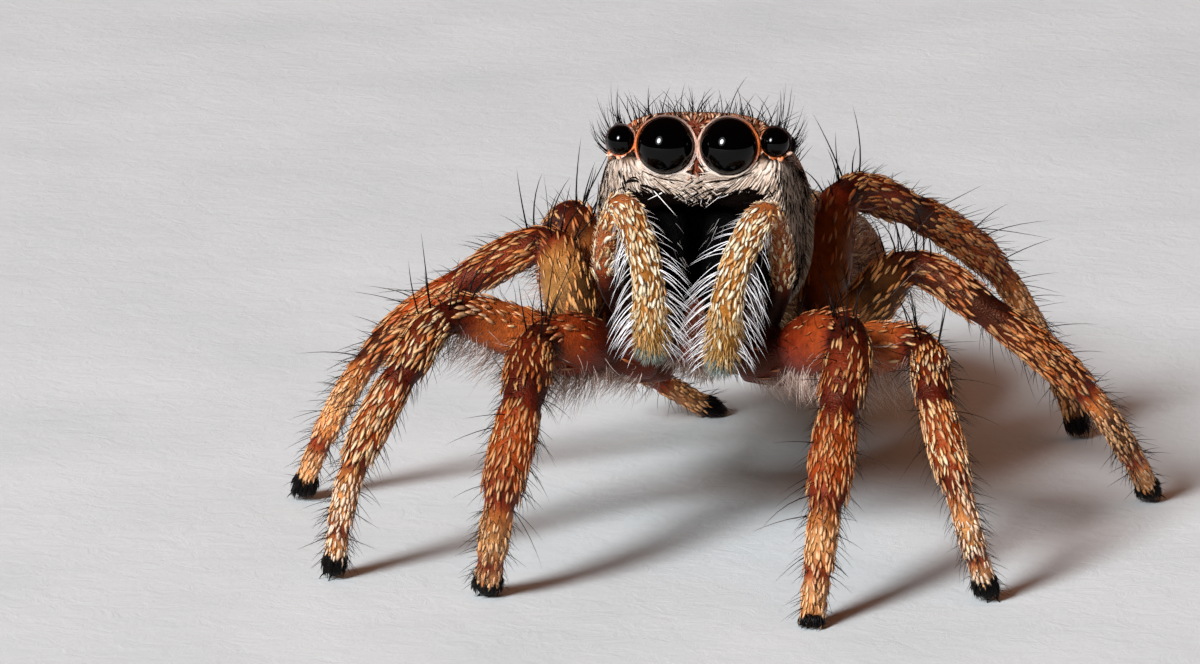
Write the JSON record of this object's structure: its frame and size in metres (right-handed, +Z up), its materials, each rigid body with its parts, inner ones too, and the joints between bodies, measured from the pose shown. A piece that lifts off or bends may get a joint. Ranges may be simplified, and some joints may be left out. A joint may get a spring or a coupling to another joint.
{
  "type": "jumping spider",
  "caption": "Life-size still model of a standing jumping spider with large front eyes, short palps and a hairy body.",
  "frame": {"origin": "on the floor, under the middle of the box that the whole spider fills", "axes": "+Z up, the face towards -Y, the spider's left side towards +X"},
  "size_m": [0.009, 0.0104, 0.0048],
  "materials": {
    "head_fur": "short brown fur with cream-white long hair on the face and sides",
    "abdomen_fur": "short dense brown and golden fur",
    "leg_cuticle": "orange-brown cuticle with pale scales and black bristles",
    "palp_hair": "golden hair with cream scales and a white fringe",
    "underside": "reddish-brown cuticle with thin hair",
    "jaw": "glossy black",
    "eye": "polished black lens"
  },
  "bodies": {
    "root": {"abdomen": "abdomen_fur", "carapace": "head_fur", "chelicera_left": "jaw", "chelicera_right": "jaw", "eye_front_middle_left": "eye", "eye_front_middle_right": "eye", "eye_front_side_left": "eye", "eye_front_side_right": "eye", "eye_rear_left": "eye", "eye_rear_right": "eye", "eye_small_left": "eye", "eye_small_right": "eye", "leg_1_left_coxa": "leg_cuticle", "leg_1_left_femur": "leg_cuticle", "leg_1_left_patella": "leg_cuticle", "leg_1_left_tarsus": "leg_cuticle", "leg_1_left_tibia": "leg_cuticle", "leg_1_right_coxa": "leg_cuticle", "leg_1_right_femur": "leg_cuticle", "leg_1_right_patella": "leg_cuticle", "leg_1_right_tarsus": "leg_cuticle", "leg_1_right_tibia": "leg_cuticle", "leg_2_left_coxa": "leg_cuticle", "leg_2_left_femur": "leg_cuticle", "leg_2_left_patella": "leg_cuticle", "leg_2_left_tarsus": "leg_cuticle", "leg_2_left_tibia": "leg_cuticle", "leg_2_right_coxa": "leg_cuticle", "leg_2_right_femur": "leg_cuticle", "leg_2_right_patella": "leg_cuticle", "leg_2_right_tarsus": "leg_cuticle", "leg_2_right_tibia": "leg_cuticle", "leg_3_left_coxa": "leg_cuticle", "leg_3_left_femur": "leg_cuticle", "leg_3_left_patella": "leg_cuticle", "leg_3_left_tarsus": "leg_cuticle", "leg_3_left_tibia": "leg_cuticle", "leg_3_right_coxa": "leg_cuticle", "leg_3_right_femur": "leg_cuticle", "leg_3_right_patella": "leg_cuticle", "leg_3_right_tarsus": "leg_cuticle", "leg_3_right_tibia": "leg_cuticle", "leg_4_left_coxa": "leg_cuticle", "leg_4_left_femur": "leg_cuticle", "leg_4_left_patella": "leg_cuticle", "leg_4_left_tarsus": "leg_cuticle", "leg_4_left_tibia": "leg_cuticle", "leg_4_right_coxa": "leg_cuticle", "leg_4_right_femur": "leg_cuticle", "leg_4_right_patella": "leg_cuticle", "leg_4_right_tarsus": "leg_cuticle", "leg_4_right_tibia": "leg_cuticle", "mouthparts": "underside", "palp_femur_left": "palp_hair", "palp_femur_right": "palp_hair", "palp_shank_left": "palp_hair", "palp_shank_right": "palp_hair", "spinnerets": "abdomen_fur", "sternum": "underside"}
  },
  "joints": []
}
